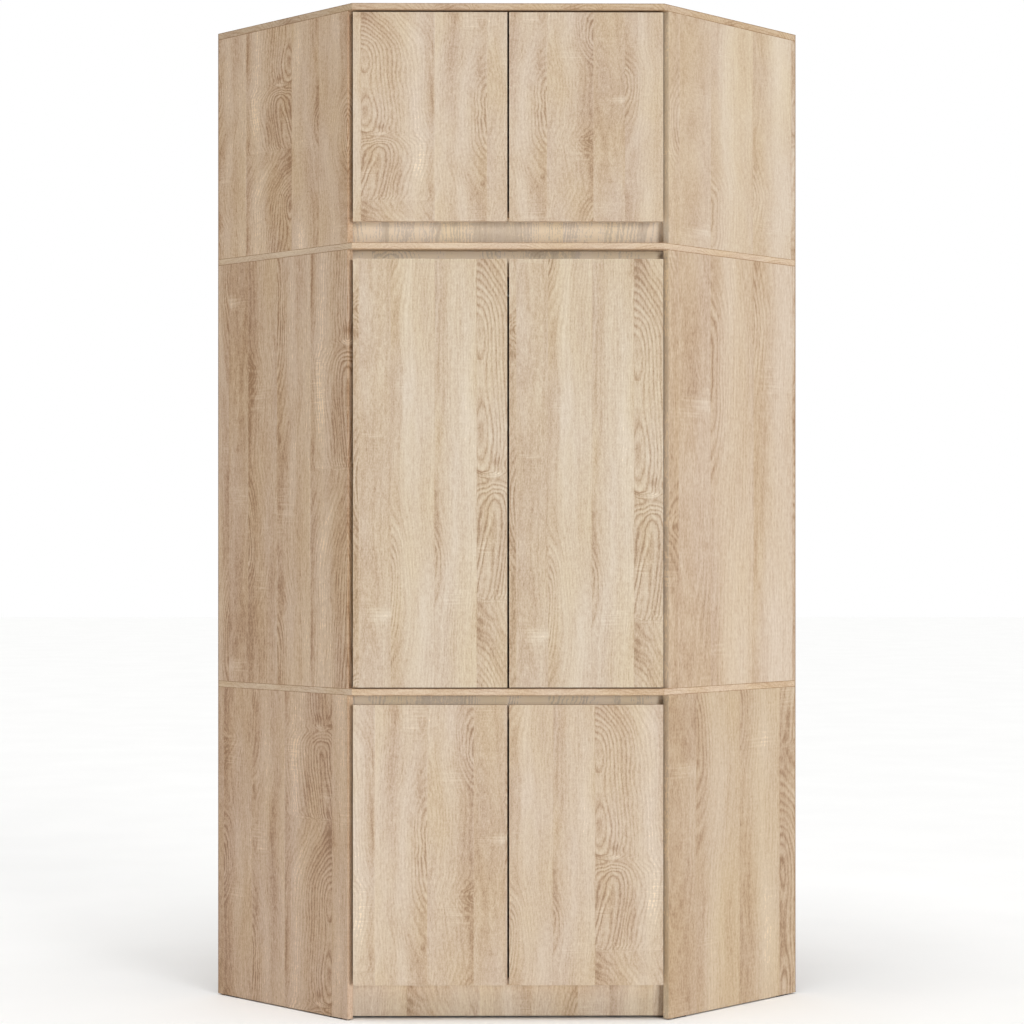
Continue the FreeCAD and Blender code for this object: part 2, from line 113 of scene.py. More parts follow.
def input_of(node, key):
    """Input of a node that is in use, by its number or name."""
    sockets = [socket for socket in node.inputs if socket.enabled]
    return sockets[key] if isinstance(key, int) else next(s for s in sockets if s.name == key)


def ramp_colour(value):
    """Colour of a ramp's stop, from a hex colour, three or four channels, or a grey."""
    if isinstance(value, str):
        return linear(value)
    return (*value, 1.0)[:4] if isinstance(value, tuple) else (value, value, value, 1.0)


def add(tree, kind, feeds=None, stops=None, **settings):
    """Adds a node with its settings; feeds are links or values by input name or number, and
    stops the places and values of a ramp."""
    node = tree.nodes.new(kind)
    for name, value in settings.items():
        setattr(node, name, value)
    for key, feed in (feeds or {}).items():
        if isinstance(feed, bpy.types.Node):
            feed = next(out for out in feed.outputs if out.enabled)
        if isinstance(feed, bpy.types.NodeSocket):
            tree.links.new(feed, input_of(node, key))
        else:
            input_of(node, key).default_value = feed
    for index, (place, value) in enumerate(stops or []):
        elements = node.color_ramp.elements
        element = elements[index] if index < len(elements) else elements.new(place)
        element.position = place
        element.color = ramp_colour(value)
    return node


def maths(tree, operation, *feeds, **settings):
    """Node that works on numbers, with its feeds in order."""
    return add(tree, "ShaderNodeMath", dict(enumerate(feeds)), operation=operation, **settings)


def vectors(tree, operation, *feeds, **settings):
    """Node that works on vectors, with its feeds in order."""
    return add(tree, "ShaderNodeVectorMath", dict(enumerate(feeds)), operation=operation, **settings)


def tinted(tree, feeds, **settings):
    """Colour A times tint B."""
    feeds = {"Factor": 1.0, **feeds}
    return add(tree, MIX, feeds, data_type="RGBA", blend_type="MULTIPLY", **settings)


def new_material(name):
    """New material with its tree of nodes and its shader."""
    material = bpy.data.materials.new(name)
    material.use_nodes = True
    return material, material.node_tree, material.node_tree.nodes["Principled BSDF"]


# The print: one sheet of sawn oak planks, repeated with a half drop
print_width_mm = 670.0
print_height_mm = 877.0

# Lengths that a ramp's values are shares of
longest_pitch_mm = 50.0
longest_fade_mm = 400.0
deepest_heart_mm = 150.0

# Planks across the sheet: left edge, pitch of the rings, depth of their lines, and how far from
# the heart of the tree these fade
PLANKS = (
    (0.0, 7.0, 1.0, 66.0), (100.0, 6.5, 0.9, 52.0), (198.0, 9.0, 0.82, 220.0),
    (367.0, 7.0, 1.0, 66.0), (487.0, 7.0, 1.0, 66.0), (595.0, 7.0, 0.6, 60.0),
)

# Heart of the tree in each plank, down the sheet: along, across, depth under the face
HEARTS = (
    ((0, -8, 50), (330, -8, 50), (390, -8, 38), (450, -8, 18), (500, -8, 5), (560, -8, 6),
     (630, -8, 20), (720, -8, 44), (877, -8, 50)),
    ((0, 96, 28), (360, 96, 32), (420, 96, 14), (455, 96, 4), (510, 96, 12), (600, 96, 30), (877, 96, 28)),
    ((0, 206, 14), (100, 209, 16), (150, 211, 6), (190, 211, 6), (225, 212, 12), (254, 214, 18),
     (260, 216, 22), (268, 232, 62), (285, 234, 54), (310, 236, 26), (345, 236, 12), (420, 232, 9),
     (540, 212, 8), (550, 210, 8), (554, 210, 8), (558, 188, 112), (562, 188, 110), (640, 188, 78),
     (720, 198, 36), (780, 204, 8), (835, 206, 4), (877, 206, 14)),
    ((0, 496, 34), (60, 496, 16), (120, 496, 5), (220, 496, 6), (330, 496, 18), (430, 496, 36),
     (520, 496, 56), (760, 496, 60), (827, 496, 54), (877, 496, 34)),
    ((0, 603, 50), (250, 603, 50), (300, 603, 28), (320, 603, 6), (345, 603, 32), (390, 603, 50),
     (530, 603, 54), (600, 603, 32), (680, 603, 8), (760, 603, 8), (820, 603, 30), (877, 603, 50)),
    ((0, 690, 40), (300, 690, 32), (600, 690, 44), (877, 690, 40)),
)
heart_margin_mm = 50.0  # keeps a heart left of the sheet above zero in its ramp

# Tone across the sheet, from pale 0 to dark 1, in soft bands between plank edges
BANDS = (
    (0, 0.62), (16, 0.56), (34, 0.38), (50, 0.36), (70, 0.42), (99, 0.39),
    (101, 0.56), (124, 0.54), (140, 0.43), (160, 0.33), (184, 0.35), (197, 0.39),
    (198, 0.6), (225, 0.56), (262, 0.54), (284, 0.49), (304, 0.36), (326, 0.29), (350, 0.44), (366, 0.54),
    (367, 0.28), (388, 0.36), (406, 0.52), (438, 0.38), (462, 0.5), (486, 0.62),
    (488, 0.46), (540, 0.47), (566, 0.57), (594, 0.68), (596, 0.57), (650, 0.54),
)

# Small swirls that bend the rings: across, along, half width, half length, rings
SWIRLS = (
    (256, 244, 20, 22, 1.0), (290, 470, 16, 90, 0.8), (352, 110, 17, 100, 0.9),
    (356, 520, 17, 60, 0.9), (426, 470, 16, 60, 0.8), (446, 690, 20, 110, 0.8),
)

# Soft patches of tone: across, along, half width, half length, darkening
PATCHES = (
    (107, 360, 9, 80, 0.22), (172, 100, 14, 110, -0.1), (203, 610, 22, 60, 0.16),
    (206, 258, 12, 6, 0.3), (246, 236, 11, 14, 0.2), (242, 263, 11, 7, -0.3),
    (285, 460, 12, 70, 0.2), (338, 360, 12, 90, -0.16), (362, 90, 8, 80, 0.2),
    (357, 500, 5, 26, 0.25), (470, 210, 12, 30, 0.15), (481, 480, 5, 16, 0.35),
    (472, 845, 12, 50, 0.2), (588, 321, 7, 5, 0.3), (572, 316, 14, 4, -0.2), (582, 380, 14, 50, 0.14),
    (625, 80, 50, 90, 0.1), (655, 148, 22, 12, -0.22), (430, 330, 16, 80, -0.1),
)

# Bands of saw marks across the grain: across, along, half width, half length
SAW_BANDS = (
    (215, 455, 22, 50), (240, 556, 44, 8), (150, 540, 30, 30), (465, 640, 26, 60), (565, 380, 30, 45),
    (630, 620, 26, 24), (338, 370, 30, 70), (640, 150, 40, 20), (560, 830, 30, 30), (20, 60, 20, 12),
)

# Streaks that follow the rings, and straight fibres: width, length, depth
STREAKS = ((36, 420, 0.5), (9, 240, 0.3), (4.2, 60, 0.32))
FIBRES = ((2.4, 5, 0.56), (2.6, 16, 0.66))

# Tone over one ring: pale early wood, then a line that darkens slowly and ends sharply
RING_TONES = ((0.0, 0.5), (0.16, 0.04), (0.3, 0.0), (0.56, 0.3), (0.82, 0.95), (1.0, 0.5))
ring_middle = 0.35

# Colours of the print from pale to dark, and its warmer and cooler places
OAK_TONES = (
    (0.0, "#F5E6CE"), (0.06, "#E3D7C6"), (0.32, "#D9CBB7"), (0.5, "#D0BEA8"), (0.72, "#C1AA92"),
    (0.95, "#A58A6F"),
)
WARM_TONES = ((0.35, "#FFFCFC"), (0.65, "#FFFAF0"))

# Noises: sizes across and along the grain, octaves, and how far each moves the lines
meander_size_mm = (90.0, 420.0)
meander_mm = 40.0
ripple_size_mm = (30.0, 90.0)
ripple_mm = (12.0, 22.0, 0.0)
fade_size_mm = (30.0, 150.0)
saw_size_mm = (70.0, 4.0)
grain_detail = 2.0
ripple_detail = 3.0
saw_detail = 1.0
noise_middle = 0.5

# How deep lines and marks are
plain_figure_share = 0.24
saw_level = 0.46
saw_base_share = 0.1
saw_mark_share = 0.8
plank_match_share = 0.02  # how close a plank's number has to be to count as the same


def glow(tree, place, spot):
    """Bell-shaped field round a spot on the print: e to minus the squared distance in half sizes."""
    across, along, half_width, half_length = spot
    scale = (1 / half_width, 1 / half_length, 0)
    move = (-across / half_width, -along / half_length, 0)
    scaled = vectors(tree, "MULTIPLY_ADD", place, scale, move)
    return maths(tree, "POWER", 1 / math.e, vectors(tree, "DOT_PRODUCT", scaled, scaled))


def spots_in(spots, window):
    """The spots that reach into a window across the print, with their copies in the sheets above
    and below that reach into this one. A spot reaches twice its half sizes."""
    first, last = (math.floor(end / print_width_mm) for end in window)
    found = []
    for across, along, half_width, half_length, *rest in spots:
        wide, long = half_width * 2, half_length * 2
        centres = [across + step * print_width_mm for step in range(first - 1, last + 2)]
        if not any(window[0] - wide < centre < window[1] + wide for centre in centres):
            continue
        copies = [along + print_height_mm * step for step in (-1, 0, 1)]
        found += [
            (across, copy, half_width, half_length, *rest)
            for copy in copies if -long < copy < print_height_mm + long
        ]
    return found


def grain_noise(tree, grain, size_mm, detail):
    """Noise with grains of a size across and along the grain."""
    scaled = vectors(tree, "MULTIPLY", grain, (1 / size_mm[0], 1 / size_mm[1], 1))
    return add(tree, NOISE, {"Vector": scaled, "Scale": 1.0, "Detail": detail})


def sheet_place(tree, source):
    """Runs across and along the grain of a place on the print, and its place inside one sheet;
    each column of sheets is moved by half a sheet from the one beside it."""
    place = add(tree, SEPARATE, {0: source})
    along = place.outputs[2]
    across = maths(tree, "ADD", place.outputs[0], place.outputs[1])
    column = maths(tree, "FLOOR", maths(tree, "DIVIDE", across, print_width_mm))
    sheet_u = maths(tree, "MULTIPLY_ADD", column, -print_width_mm, across)
    dropped = maths(tree, "MULTIPLY_ADD", column, print_height_mm / 2, along)
    sheet_v = maths(tree, "FLOORED_MODULO", dropped, print_height_mm)
    return across, along, sheet_u, sheet_v


def plank_values(tree, share_u):
    """Number of the plank at a share of the sheet's width, as a share of all planks, with the
    pitch of its rings, the depth of their lines and the distance at which they fade."""
    stops = []
    for index, (left, pitch, depth, fade) in enumerate(PLANKS):
        values = (index / len(PLANKS), pitch / longest_pitch_mm, depth, fade / longest_fade_mm)
        stops.append((left / print_width_mm, values))
    ramp = add(tree, RAMP, {0: share_u}, stops)
    ramp.color_ramp.interpolation = "CONSTANT"
    number, pitch_share, depth = add(tree, "ShaderNodeSeparateColor", {0: ramp}).outputs
    pitch = maths(tree, "MULTIPLY", pitch_share, longest_pitch_mm)
    fade = maths(tree, "MULTIPLY", ramp.outputs["Alpha"], longest_fade_mm)
    return number, pitch, depth, fade


def heart_distance(tree, place, number):
    """Distance from the heart of the plank's tree, which comes up to the face and goes down again:
    the root of the squared distances from it across the face and under it."""
    wavy = add(tree, SEPARATE, {0: place})
    share_v = maths(tree, "DIVIDE", wavy.outputs[1], print_height_mm)
    heart = (0, 0, 0)
    for index, course in enumerate(HEARTS):
        inside = maths(tree, "COMPARE", number, index / len(PLANKS), plank_match_share)
        stops = [
            (v / print_height_mm, ((u + heart_margin_mm) / print_width_mm, depth / deepest_heart_mm, 0))
            for v, u, depth in course
        ]
        ramp = add(tree, RAMP, {0: share_v}, stops)
        ramp.color_ramp.interpolation = "B_SPLINE"
        heart = vectors(tree, "MULTIPLY_ADD", ramp, inside, heart)
    heart = add(tree, SEPARATE, {0: heart})
    heart_u = maths(tree, "MULTIPLY_ADD", heart.outputs[0], print_width_mm, -heart_margin_mm)
    off = maths(tree, "SUBTRACT", wavy.outputs[0], heart_u)
    under = maths(tree, "MULTIPLY", heart.outputs[1], deepest_heart_mm)
    return vectors(tree, "LENGTH", add(tree, COMBINE, {0: off, 1: under}))


def ring_tone(tree, ring_place, pitch, spot_place, window):
    """Tone of the rings: their place in pitches, bent by the swirls, and of that the part of one
    ring through a ramp."""
    rings = maths(tree, "DIVIDE", ring_place, pitch)
    for *spot, count in spots_in(SWIRLS, window):
        rings = maths(tree, "MULTIPLY_ADD", glow(tree, spot_place, spot), count, rings)
    line = add(tree, RAMP, {0: maths(tree, "FRACT", rings)}, RING_TONES)
    return maths(tree, "ADD", line, -ring_middle)


def ring_depth(tree, far, fade, depth, grain):
    """Depth of the rings' lines: one less the distance from the heart in fade distances, but not
    under a plain share, times the plank's own depth and a noise."""
    near = maths(tree, "SUBTRACT", 1.0, maths(tree, "DIVIDE", far, fade))
    figure = maths(tree, "MAXIMUM", near, plain_figure_share)
    deep = maths(tree, "MULTIPLY", figure, depth)
    return maths(tree, "MULTIPLY", deep, grain_noise(tree, grain, fade_size_mm, grain_detail))


def saw_tone(tree, grain, spot_place, window):
    """Pale saw marks across the grain: how far a noise rises over a level, times a depth that
    grows in the bands of saw marks."""
    bands = 0.0
    for spot in spots_in(SAW_BANDS, window):
        bands = maths(tree, "MAXIMUM", glow(tree, spot_place, spot), bands)
    saw = grain_noise(tree, grain, saw_size_mm, saw_detail)
    pale = maths(tree, "MINIMUM", maths(tree, "SUBTRACT", saw_level, saw), 0.0)
    return maths(tree, "MULTIPLY", pale, maths(tree, "MULTIPLY_ADD", bands, saw_mark_share, saw_base_share))


def oak_print(tree, source, window, shade):
    """Colour and relief at a place on the print, in millimetres, inside a window across it; shade
    darkens it, and lightens it where it is negative: it carries the joint lines with their painted
    shadow and the painted light on pale edges. The rings of each plank are the distance from the heart
    of its tree, which wanders across and under the face, so that its lines run in arches and ovals over
    the heart."""
    across, along, sheet_u, sheet_v = sheet_place(tree, source)
    share_u = maths(tree, "DIVIDE", sheet_u, print_width_mm)
    number, pitch, depth, fade = plank_values(tree, share_u)
    own = maths(tree, "MULTIPLY", number, print_height_mm)
    grain = add(tree, COMBINE, {0: across, 1: along, 2: own})

    # Wandering of the grain
    meander = grain_noise(tree, grain, meander_size_mm, grain_detail)
    ripple = grain_noise(tree, grain, ripple_size_mm, ripple_detail)
    wobble = vectors(tree, "SUBTRACT", ripple.outputs["Color"], (noise_middle, noise_middle, noise_middle))
    spot_place = add(tree, COMBINE, {0: sheet_u, 1: sheet_v})
    spot_place = vectors(tree, "MULTIPLY_ADD", wobble, ripple_mm, spot_place)

    # Rings
    far = heart_distance(tree, spot_place, number)
    ring_place = maths(tree, "MULTIPLY_ADD", meander, meander_mm, far)
    lines = ring_tone(tree, ring_place, pitch, spot_place, window)
    tone = maths(tree, "MULTIPLY_ADD", lines, ring_depth(tree, far, fade, depth, grain), shade)

    # Soft bands and patches of tone
    band = add(tree, RAMP, {0: share_u}, [(u / print_width_mm, value) for u, value in BANDS])
    tone = maths(tree, "ADD", band, tone)
    for *spot, darkening in spots_in(PATCHES, window):
        tone = maths(tree, "MULTIPLY_ADD", glow(tree, spot_place, spot), darkening, tone)

    # Streaks along the rings and fibres along the plank; the last fibre is also the relief
    ring_grain = add(tree, COMBINE, {0: ring_place, 1: along, 2: own})
    courses = [(ring_grain, streak) for streak in STREAKS] + [(grain, fibre) for fibre in FIBRES]
    for course, (width, length, darkening) in courses:
        fibre = grain_noise(tree, course, (width, length), grain_detail)
        centred = maths(tree, "ADD", fibre, -noise_middle)
        tone = maths(tree, "MULTIPLY_ADD", centred, darkening, tone)

    tone = maths(tree, "ADD", saw_tone(tree, grain, spot_place, window), tone)
    tone = maths(tree, "MULTIPLY_ADD", tone, name="board_contrast")
    colour = add(tree, RAMP, {0: tone}, OAK_TONES)
    warm = add(tree, RAMP, {0: meander}, WARM_TONES)
    return tinted(tree, {"A": colour, "B": warm}), fibre


# Melamine-faced boards

edge_grain_share = 3.0  # how much shorter the grain is on a level board's edge
# Dark lines along a level board's edge: edge-band joints, partly painted shadow where boards meet
joint_line_mm = 1.6
joint_shade = 0.5
# Painted light: how much paler the print is on a board's edge that lies in shade
edge_painted_light = 0.5
melamine_roughness = (0.44, 0.56)
melamine_ior = 1.48
melamine_gloss = 0.35
relief_share = 0.12
relief_mm = 0.2


def edge_place(tree, coordinates):
    """Place on a level board, with its upright edges laid flat: on them the print runs along the
    edge, which is square to the face's normal and to the height, and its grain is a few times
    shorter than on a face. Also how upright the face is."""
    place, normal = coordinates.outputs["Object"], coordinates.outputs["Normal"]
    run = vectors(tree, "DOT_PRODUCT", vectors(tree, "CROSS_PRODUCT", normal, UP), place)
    run = maths(tree, "MULTIPLY", run, edge_grain_share)
    height = add(tree, SEPARATE, {0: place})
    edge = add(tree, COMBINE, {0: run, 2: height.outputs[2]})
    tilt = add(tree, SEPARATE, {0: normal})
    upright = maths(tree, "SUBTRACT", 1.0, maths(tree, "ABSOLUTE", tilt.outputs[2]))
    return add(tree, MIX, {"Factor": upright, "A": place, "B": edge}, data_type="VECTOR"), upright


def joint_and_shadow_lines(tree, mapping, upright):
    """Darkening of the thin dark lines along both sides of a level board's edge: edge-band joints that
    are partly painted shadow where the boards meet.
    """
    depth = add(tree, SEPARATE, {0: mapping})
    off = maths(tree, "ABSOLUTE", maths(tree, "SUBTRACT", depth.outputs[1], board_mm / 2))
    line = maths(tree, "GREATER_THAN", off, board_mm / 2 - joint_line_mm)
    return maths(tree, "MULTIPLY", maths(tree, "MULTIPLY", line, upright), joint_shade)


def painted_light_on_edge(tree, coordinates):
    """Painted light: a paler tone on the edge that faces the way set for the board, where the face's
    normal runs that way; it stands in for light on an edge that lies in shade."""
    facing = vectors(tree, "DOT_PRODUCT", coordinates.outputs["Normal"], name="painted_light_edge")
    return maths(tree, "MULTIPLY", maths(tree, "GREATER_THAN", facing, half_share), -edge_painted_light)


def oak_material(window, level):
    """Melamine-faced chipboard with the sawn-oak print: satin, with a grain that is pressed a
    little into the surface."""
    material, tree, shader = new_material("melamine_sawn_oak")
    coordinates = add(tree, COORDINATES)
    place = coordinates.outputs["Object"]
    if level:
        place, upright = edge_place(tree, coordinates)
    mapping = add(tree, MAPPING, {"Vector": place}, name="print_place")
    # Level boards: joint lines, partly painted shadow; other boards: painted light on an edge in shade
    shade = joint_and_shadow_lines(tree, mapping, upright) if level else painted_light_on_edge(tree, coordinates)
    colour, relief = oak_print(tree, mapping, window, shade)
    colour = tinted(tree, {"A": colour}, name="board_tint")
    tree.links.new(colour.outputs[2], shader.inputs["Base Color"])
    rough = add(tree, RANGE, {"Value": relief, 3: melamine_roughness[0], 4: melamine_roughness[1]})
    tree.links.new(rough.outputs[0], shader.inputs["Roughness"])
    pressed = {"Strength": relief_share, "Distance": MM * relief_mm, "Height": relief}
    raised = add(tree, BUMP, pressed, invert=True)
    tree.links.new(raised.outputs[0], shader.inputs["Normal"])
    shader.inputs["IOR"].default_value = melamine_ior
    shader.inputs["Specular IOR Level"].default_value = melamine_gloss
    return material


window_step_mm = 60.0
middle_tone = 0.46  # stays the same when the contrast changes
oak_materials = {}


def oak_window(sheet, stretch, reach, level):
    """Oak material for the stretch of print that a board shows, in steps, with all of the sheet
    where its reach isn't given. Boards with the same window and kind share its nodes."""
    steps = (0, round(print_width_mm / window_step_mm))
    if reach:
        ends = (sheet[0] - board_mm, sheet[0] + board_mm + reach * stretch[0])
        steps = tuple(round(end / window_step_mm) for end in ends)
    key = (*steps, level)
    if key in oak_materials:
        return oak_materials[key].copy()
    half_step = window_step_mm / 2
    window = (steps[0] * window_step_mm - half_step, steps[1] * window_step_mm + half_step)
    oak_materials[key] = oak_material(window, level)
    return oak_materials[key]


def oak_board(
    name, origin, across, along, sheet, stretch=(1.0, 1.0), reach=None, tint="#FFFFFF", contrast=1.0,
    lift=0.0, level=False, painted_light_edge=(0, 0, 0),
):
    """Oak print for one board: the print's place sheet lies at the board's origin, its axes run
    across and along, stretch is its share of real size, and it covers reach across the board, or any
    width. A tint and a contrast make it differ from other boards; on the left sides the tint is also
    painted shade. The lift to paler tones is painted light where a board lies in shade, and the last
    argument is the way that an edge faces whose paler tone is painted light, if it has one."""
    material = oak_window(sheet, stretch, reach, level)
    material.name = f"melamine_sawn_oak_{name}"
    across, along = Vector(across).normalized(), Vector(along).normalized()
    turn = Matrix((across, along.cross(across), along))
    scale = Vector(TO_MM * (stretch[1] if abs(part) > half_share else stretch[0]) for part in along)
    own = material.node_tree.nodes
    start = Vector((sheet[0], 0, sheet[1])) - turn @ (scale * Vector(origin))
    own["print_place"].inputs["Location"].default_value = start
    own["print_place"].inputs["Rotation"].default_value = turn.to_euler()
    own["print_place"].inputs["Scale"].default_value = scale
    input_of(own["board_tint"], "B").default_value = linear(tint)
    own["board_contrast"].inputs[1].default_value = contrast
    own["board_contrast"].inputs[2].default_value = middle_tone * (1 - contrast) - lift
    # Way of the edge whose paler tone is painted light
    if not level:
        own["painted_light_edge"].inputs[1].default_value = painted_light_edge
    return material


def paint(node, material):
    """A CAD node takes one material in all its slots."""
    slots = nodes[node].material_slots
    if not slots:
        nodes[node].data.materials.append(material)
    for slot in slots:
        slot.material = material


# Height that the same run of print takes in each unit; the middle unit has it at real size
PRINT_RUNS_MM = {"base": 749, "middle": 1014, "top": 536}
UNIT_STRETCH_SHARES = {unit: PRINT_RUNS_MM["middle"] / run for unit, run in PRINT_RUNS_MM.items()}

# Where the print starts on each upright board: across and along the sheet
DOOR_SHEETS = {
    "base_door_left": (318, -276), "base_door_right": (0, -213),
    "middle_door_left": (-87, -234), "middle_door_right": (-90, -282),
    "top_door_left": (180, -267), "top_door_right": (402, -237),
}
LEFT_SIDE_SHEETS = {"base": (144, -720), "middle": (237, 51), "top": (0, 0)}
RIGHT_SIDE_SHEETS = {"base": (607, 873), "middle": (574, 1681), "top": (571, 1285)}
RIGHT_STRETCH_SHARES = {"base": (0.635, 0.853), "middle": (0.635, 0.62), "top": (0.65, 1.23)}
UPRIGHT_SHEETS = {
    "base_plinth": (40, 560), "base_rail": (380, 90), "middle_rail": (120, 300), "top_plinth": (250, 30),
    "base_corner_post": (60, 20), "middle_corner_post": (300, 200), "top_corner_post": (480, 400),
}

# Where it starts on each level board
LEVEL_SHEETS = {
    "base_deck": (578, 120), "middle_deck": (206, 400), "top_deck": (466, 650),
    "base_bottom": (180, 0), "base_shelf": (20, 500), "top_bottom": (400, 250),
}

# Boards differ a little in tone and contrast. The left sides' tints are partly board tone and partly
# painted shade, and the lifts are painted light: a paler print on the rails and the top plinth,
# which stand back in the shade of the decks
DOOR_TINTS = {"base": "#F9F7F6", "middle": "#FDFEFE", "top": "#FAF8F7"}
# Left sides: a warmer, darker tint, partly board tone and partly painted shade of the side that the light
# reaches less
LEFT_PAINTED_SHADE_TINTS = {"base": "#F6E9E0", "middle": "#FBF0E7", "top": "#FEF3E9"}
RIGHT_TINTS = {"base": "#F1EBE3", "middle": "#FAF7F5", "top": "#FFFFFF"}
LEVEL_TINT = "#FFF8F0"
TOP_TINT = "#F2E9DE"
left_contrast = 1.3
RIGHT_CONTRASTS = {"base": 1.0, "middle": 0.95, "top": 0.75}
# Painted light: paler print on the rails and the top plinth, which stand back in the decks' shade
PAINTED_LIGHT_LIFTS = {"base_rail": 0.5, "middle_rail": 0.5, "top_plinth": 0.4}


def upper_left(node):
    """Upper left corner of a node's front."""
    low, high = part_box(node)
    return (low.x, low.y, high.z)


def dress_doors():
    """Doors: the print runs down them, stretched to their unit's height."""
    for door, sheet in DOOR_SHEETS.items():
        unit = door.split("_")[0]
        low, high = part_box(door)
        stretch = (1.0, UNIT_STRETCH_SHARES[unit])
        width = (high.x - low.x) * TO_MM
        paint(door, oak_board(door, upper_left(door), RIGHT, DOWN, sheet, stretch, width, DOOR_TINTS[unit]))


def dress_sides(unit):
    """Sides of a unit: the print runs down them and starts at their front edges."""
    left, right = f"{unit}_side_left", f"{unit}_side_right"
    side_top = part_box(left)[1].z * TO_MM
    left_corner = plan(wall_length_mm, side_front_mm, side_top)
    right_corner = plan(side_front_mm, wall_length_mm, side_top)
    # Left sides take a tint that is partly painted shade
    paint(left, oak_board(
        left, left_corner, TO_LEFT_WALL, DOWN, LEFT_SIDE_SHEETS[unit], (1.0, UNIT_STRETCH_SHARES[unit]),
        tint=LEFT_PAINTED_SHADE_TINTS[unit], contrast=left_contrast,
    ))
    # Right sides: their front edges get a paler tone, painted light on edges that lie in shade
    paint(right, oak_board(
        right, right_corner, TO_RIGHT_WALL, DOWN, RIGHT_SIDE_SHEETS[unit], RIGHT_STRETCH_SHARES[unit],
        side_front_mm, RIGHT_TINTS[unit], RIGHT_CONTRASTS[unit], painted_light_edge=-TO_RIGHT_WALL,
    ))


def dress_other_boards():
    """Plinths, rails and posts, with the print running down, and level boards, with it running
    from left to right."""
    for board, sheet in UPRIGHT_SHEETS.items():
        # The rails and the top plinth get a paler print: painted light in the shade of the decks
        lift = PAINTED_LIGHT_LIFTS.get(board, 0.0)
        paint(board, oak_board(board, upper_left(board), RIGHT, DOWN, sheet, lift=lift))
    for board, sheet in LEVEL_SHEETS.items():
        tint = TOP_TINT if board == "top_deck" else LEVEL_TINT
        paint(board, oak_board(board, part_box(board)[0], BACKWARD, RIGHT, sheet, tint=tint, level=True))


dress_doors()
for unit in UNITS:
    dress_sides(unit)
dress_other_boards()

# Other materials

SPECKLE_SHARES = (0.35, 0.65)
grit_mm = 0.2


def speckled(name, size_mm, colours, roughness, metallic=0.0, stretch=(1, 1, 1), bump=0.0, detail=4.0):
    """Material whose colour and gloss follow one noise, with grains of a size in millimetres and
    finer ones inside them."""
    material, tree, shader = new_material(name)
    coordinates = add(tree, COORDINATES)
    mapping = add(tree, MAPPING, {"Vector": coordinates.outputs["Object"], "Scale": stretch})
    noise = add(tree, NOISE, {"Vector": mapping, "Scale": TO_MM / size_mm, "Detail": detail})
    colour = add(tree, RAMP, {0: noise}, list(zip(SPECKLE_SHARES, colours)))
    tree.links.new(colour.outputs[0], shader.inputs["Base Color"])
    rough = add(tree, RANGE, {"Value": noise.outputs[0], 3: roughness[0], 4: roughness[1]})
    tree.links.new(rough.outputs[0], shader.inputs["Roughness"])
    if bump:
        relief = add(tree, BUMP, {"Strength": bump, "Distance": MM * grit_mm, "Height": noise.outputs[0]})
        tree.links.new(relief.outputs[0], shader.inputs["Normal"])
    shader.inputs["Metallic"].default_value = metallic
    return material


# Hardboard: brown pressed fibres, dull, in soft clouds with darker flecks
cloud_mm = 90.0
hardboard = speckled("pressed_hardboard", cloud_mm, ("#91704F", "#A28260"), (0.6, 0.8), bump=0.3, detail=9.0)
# Beech dowel: pale pinkish wood with short flecks along its length
fleck_mm = 2.0
beech = speckled("turned_beech", fleck_mm, ("#C79D6E", "#DDBB90"), (0.5, 0.65), stretch=(1, 1, 0.1))
# Nickel plate on pressed steel: warm grey mirror, a little clouded by the pressing
pressing_mm = 6.0
nickel = speckled("nickel_plated_steel", pressing_mm, ("#B5B0A8", "#C9C5BE"), (0.22, 0.36), 1.0)
# Zinc plate on screws: bluish grey, with a soft bloom
bloom_mm = 3.0
zinc = speckled("zinc_plated_steel", bloom_mm, ("#A9ACAE", "#C2C4C4"), (0.3, 0.45), 1.0)
# Chrome on a drawn tube: bright, with faint draw lines along it
draw_mm = 1.5
chrome = speckled("chromed_tube", draw_mm, ("#D6D8DA", "#E2E4E5"), (0.06, 0.16), 1.0, stretch=(0.02, 1, 1))
# Moulded black plastic: dull sheen with a fine grit
black_grain_mm = 0.8
black_plastic = speckled(
    "moulded_black_plastic", black_grain_mm, ("#161616", "#1F1F1E"), (0.42, 0.55), bump=0.15,
)
# Moulded beige plastic: soft sheen, slightly mottled
beige_grain_mm = 1.0
beige_plastic = speckled(
    "moulded_beige_plastic", beige_grain_mm, ("#C6AE8C", "#CFB896"), (0.4, 0.52), bump=0.1,
)

for unit in UNITS:
    for hand in HANDS:
        paint(f"{unit}_back_{hand}", hardboard)
        paint(f"{unit}_door_{hand}_hinge_cups", nickel)
        paint(f"{unit}_door_{hand}_hinge_pins", zinc)
    paint(f"{unit}_hinge_arms", nickel)
    paint(f"{unit}_hinge_plates", nickel)
paint("deck_screws", zinc)
paint("base_shelf_pins", zinc)
paint("unit_dowels", beech)
paint("hanging_rail", chrome)
paint("hanging_rail_hangers", chrome)
paint("hanging_rail_plugs", black_plastic)
paint("floor_glides", black_plastic)
paint("board_blocks", beige_plastic)
paint("rail_wedges", beige_plastic)

# Heads of the small screws and nails: radius, height and radius of the recess
CUP_HEAD_MM = (4.0, 1.6, 2.1)
PLATE_HEAD_MM = (3.8, 1.8, 2.0)
ARM_HEAD_MM = (3.4, 1.2, 1.9)
HANGER_HEAD_MM = (3.6, 1.8, 1.9)
SOCKET_HEAD_MM = (4.8, 0.5, 2.4)
NAIL_HEAD_MM = (2.6, 0.7, 1.4)

# Edge of a recess round its middle, as shares of its radius
CROSS_SHARES = (1.0, 0.4, 0.34, 0.4) * 4
HEXAGON_SHARES = (1.0, math.cos(math.pi / 6)) * 6
ROUND_SHARES = (1.0,) * 8

# Shoulder of a head and floor of its recess, as shares of the rim, the recess and the height
shoulder_share = 0.86
floor_share = 0.8
HEIGHT_SHARES = (0.0, 1.0, 1.0, 0.25)


